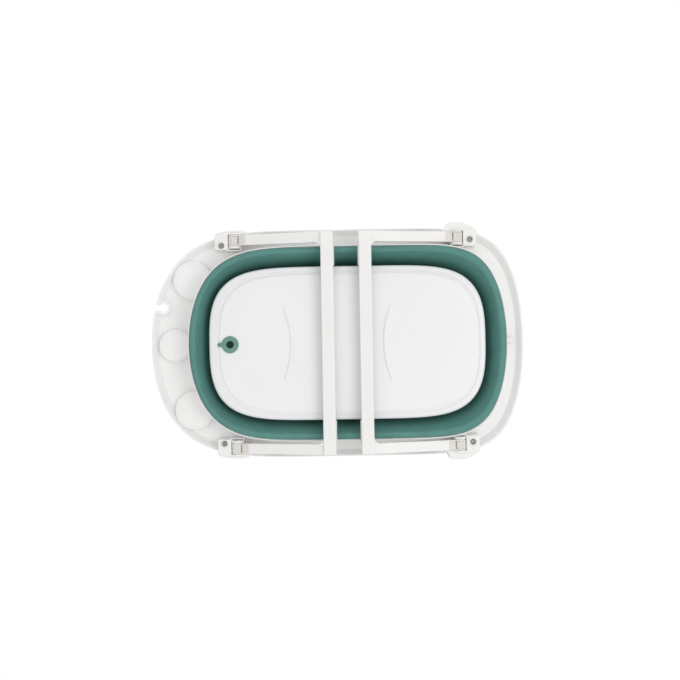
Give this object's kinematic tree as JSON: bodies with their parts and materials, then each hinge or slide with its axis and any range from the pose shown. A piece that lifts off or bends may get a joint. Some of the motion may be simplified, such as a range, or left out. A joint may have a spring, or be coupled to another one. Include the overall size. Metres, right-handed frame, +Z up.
{
  "type": "folding baby bathtub",
  "caption": "Folding baby bathtub: oval rim with tray shelf, stiff base in a rubbery folding wall, drain plug and two swing-out leg frames.",
  "frame": {"origin": "on the floor, below the middle of the tub's bounding box, with the tub folded and standing on its leg crossbars", "axes": "+X along the tub's length, towards the narrow end without trays; +Z up, out of the tub's mouth"},
  "size_m": [0.8, 0.509, 0.1],
  "materials": {
    "rim_white": "satin moulded polypropylene, slightly warm white",
    "base_white": "satin moulded polypropylene, cool white",
    "leg_white": "satin moulded polypropylene, white",
    "bracket_white": "satin moulded polypropylene, slightly warm white",
    "catch_white": "satin moulded acetal, warm white",
    "wall_green": "matt thermoplastic rubber, sage green",
    "plug_green": "matt thermoplastic rubber, sage green",
    "pad_grey": "matt soft rubber, pale grey",
    "pin_steel": "plated steel",
    "screw_steel": "plated steel"
  },
  "bodies": {
    "base": {"base_tray": "base_white", "folding_wall": "wall_green"},
    "rim": {"rim": "rim_white", "hinge_bracket_left_front": "bracket_white", "hinge_bracket_left_rear": "bracket_white", "hinge_bracket_right_front": "bracket_white", "hinge_bracket_right_rear": "bracket_white", "hinge_pin_left_front": "pin_steel", "hinge_pin_left_rear": "pin_steel", "hinge_pin_right_front": "pin_steel", "hinge_pin_right_rear": "pin_steel", "bracket_screw_left_front": "screw_steel", "bracket_screw_left_rear": "screw_steel", "bracket_screw_right_front": "screw_steel", "bracket_screw_right_rear": "screw_steel"},
    "left_leg": {"left_leg": "leg_white", "foot_pad_left_front": "pad_grey", "foot_pad_left_rear": "pad_grey"},
    "right_leg": {"right_leg": "leg_white", "foot_pad_right_front": "pad_grey", "foot_pad_right_rear": "pad_grey"},
    "drain_plug": {"drain_plug": "plug_green"},
    "lock_catch_left_front": {"lock_catch_left_front": "catch_white"},
    "lock_catch_left_rear": {"lock_catch_left_rear": "catch_white"},
    "lock_catch_right_front": {"lock_catch_right_front": "catch_white"},
    "lock_catch_right_rear": {"lock_catch_right_rear": "catch_white"}
  },
  "joints": [
    {"name": "rim_rise", "type": "slide", "parent": "base", "child": "rim", "axis": [0, 0, 1], "range_m": [0, 0.1415], "deforming": ["folding_wall"]},
    {"name": "left_leg_fold", "type": "hinge", "parent": "rim", "child": "left_leg", "pos_m": [-0.2175, 0, 0.072], "axis": [0, 1, 0], "range_deg": [0, 90]},
    {"name": "right_leg_fold", "type": "hinge", "parent": "rim", "child": "right_leg", "pos_m": [0.259, 0, 0.072], "axis": [0, -1, 0], "range_deg": [0, 90]},
    {"name": "drain_plug_pull", "type": "slide", "parent": "base", "child": "drain_plug", "axis": [0, 0, -1], "range_m": [0, 0.02]},
    {"name": "lock_catch_left_front_press", "type": "slide", "parent": "left_leg", "child": "lock_catch_left_front", "axis": [0, 0, 1], "range_m": [0, 0.0024], "stiffness_N_per_m": 400, "springref_m": -0.001},
    {"name": "lock_catch_left_rear_press", "type": "slide", "parent": "left_leg", "child": "lock_catch_left_rear", "axis": [0, 0, 1], "range_m": [0, 0.0024], "stiffness_N_per_m": 400, "springref_m": -0.001},
    {"name": "lock_catch_right_front_press", "type": "slide", "parent": "right_leg", "child": "lock_catch_right_front", "axis": [0, 0, 1], "range_m": [0, 0.0024], "stiffness_N_per_m": 400, "springref_m": -0.001},
    {"name": "lock_catch_right_rear_press", "type": "slide", "parent": "right_leg", "child": "lock_catch_right_rear", "axis": [0, 0, 1], "range_m": [0, 0.0024], "stiffness_N_per_m": 400, "springref_m": -0.001}
  ],
  "couplings": [
    {"joint": "left_leg_fold", "follows": "rim_rise", "rad_per_m": 11.101},
    {"joint": "right_leg_fold", "follows": "rim_rise", "rad_per_m": 11.101}
  ]
}
